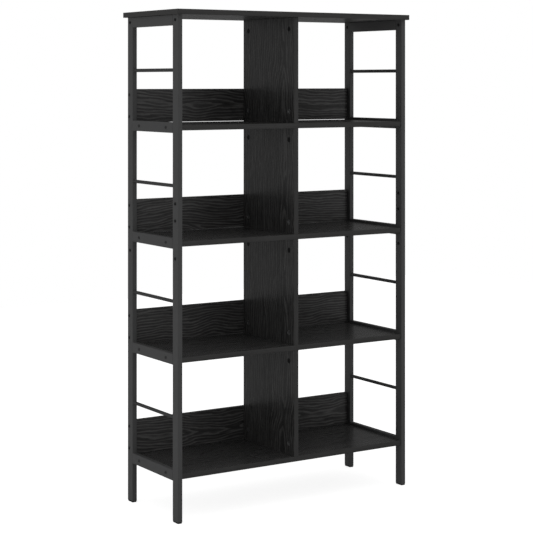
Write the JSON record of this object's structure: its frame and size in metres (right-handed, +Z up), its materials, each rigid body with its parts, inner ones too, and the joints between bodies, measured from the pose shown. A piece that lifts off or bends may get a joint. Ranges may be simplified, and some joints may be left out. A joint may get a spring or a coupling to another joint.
{
  "type": "bookcase",
  "caption": "Tall open bookcase: black tube side frames carry fixed black oak shelves, a central divider in every bay and low back panels.",
  "frame": {"origin": "on the floor, at the middle of the overall footprint (top board included)", "axes": "+Z up, front of the bookcase towards -Y, +X to the right seen from the front"},
  "size_m": [0.814, 0.327, 1.44],
  "materials": {
    "black_steel": "satin black powder coat",
    "black_oak": "black stained oak with visible grain, satin",
    "black_plastic": "moulded, matt",
    "black_screw": "black zinc, satin",
    "zinc": "zinc, dull"
  },
  "bodies": {
    "root": {"back_panel_1": "black_oak", "back_panel_2": "black_oak", "back_panel_3": "black_oak", "back_panel_4": "black_oak", "cam_covers": "black_plastic", "cam_dowels_double": "zinc", "cam_dowels_single": "zinc", "cam_locks": "zinc", "divider_1": "black_oak", "divider_2": "black_oak", "divider_3": "black_oak", "divider_4": "black_oak", "foot_back_left": "black_plastic", "foot_back_right": "black_plastic", "foot_front_left": "black_plastic", "foot_front_right": "black_plastic", "joint_bolt_nuts": "black_screw", "joint_bolts": "black_screw", "leg_back_left_lower": "black_steel", "leg_back_left_upper": "black_steel", "leg_back_right_lower": "black_steel", "leg_back_right_upper": "black_steel", "leg_front_left_lower": "black_steel", "leg_front_left_upper": "black_steel", "leg_front_right_lower": "black_steel", "leg_front_right_upper": "black_steel", "leg_sleeve_back_left": "zinc", "leg_sleeve_back_right": "zinc", "leg_sleeve_front_left": "zinc", "leg_sleeve_front_right": "zinc", "panel_screws": "black_screw", "shelf_1": "black_oak", "shelf_2": "black_oak", "shelf_3": "black_oak", "shelf_4": "black_oak", "shelf_bolts": "black_screw", "side_rail_left_1": "black_steel", "side_rail_left_2": "black_steel", "side_rail_left_3": "black_steel", "side_rail_left_4": "black_steel", "side_rail_left_top": "black_steel", "side_rail_right_1": "black_steel", "side_rail_right_2": "black_steel", "side_rail_right_3": "black_steel", "side_rail_right_4": "black_steel", "side_rail_right_top": "black_steel", "side_rod_left_1": "black_steel", "side_rod_left_2": "black_steel", "side_rod_left_3": "black_steel", "side_rod_left_4": "black_steel", "side_rod_right_1": "black_steel", "side_rod_right_2": "black_steel", "side_rod_right_3": "black_steel", "side_rod_right_4": "black_steel", "top_board": "black_oak", "top_bolt_nuts": "black_screw", "top_bolts": "black_screw", "top_plug_screws": "zinc", "top_plugs": "black_plastic"}
  },
  "joints": []
}
